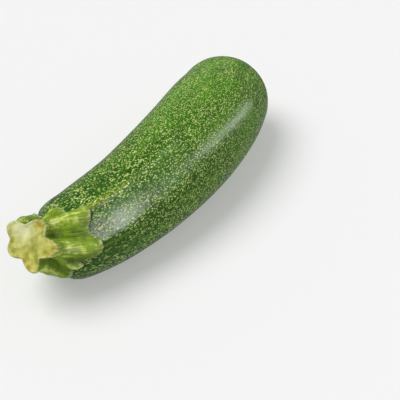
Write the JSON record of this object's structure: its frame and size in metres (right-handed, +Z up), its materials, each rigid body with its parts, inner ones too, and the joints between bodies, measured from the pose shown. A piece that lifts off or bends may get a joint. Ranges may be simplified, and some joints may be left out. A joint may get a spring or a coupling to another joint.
{
  "type": "courgette",
  "caption": "Whole picked courgette lying on its side, gently bent, with a ribbed cut stem, ridged shoulder and rounded blossom end.",
  "frame": {"origin": "on the surface that the courgette lies on, under the middle of its box", "axes": "+X from the cut stem to the blossom end, +Z up, with the outer side of the bend towards -Y"},
  "size_m": [0.1672, 0.0542, 0.0479],
  "materials": {
    "skin": "thin waxy rind, dark green with dense pale flecks, satin",
    "stalk": "ribbed yellow-green stalk, dull, with a paler dry cut face"
  },
  "bodies": {
    "root": {"fruit": "skin", "stem": "stalk"}
  },
  "joints": []
}
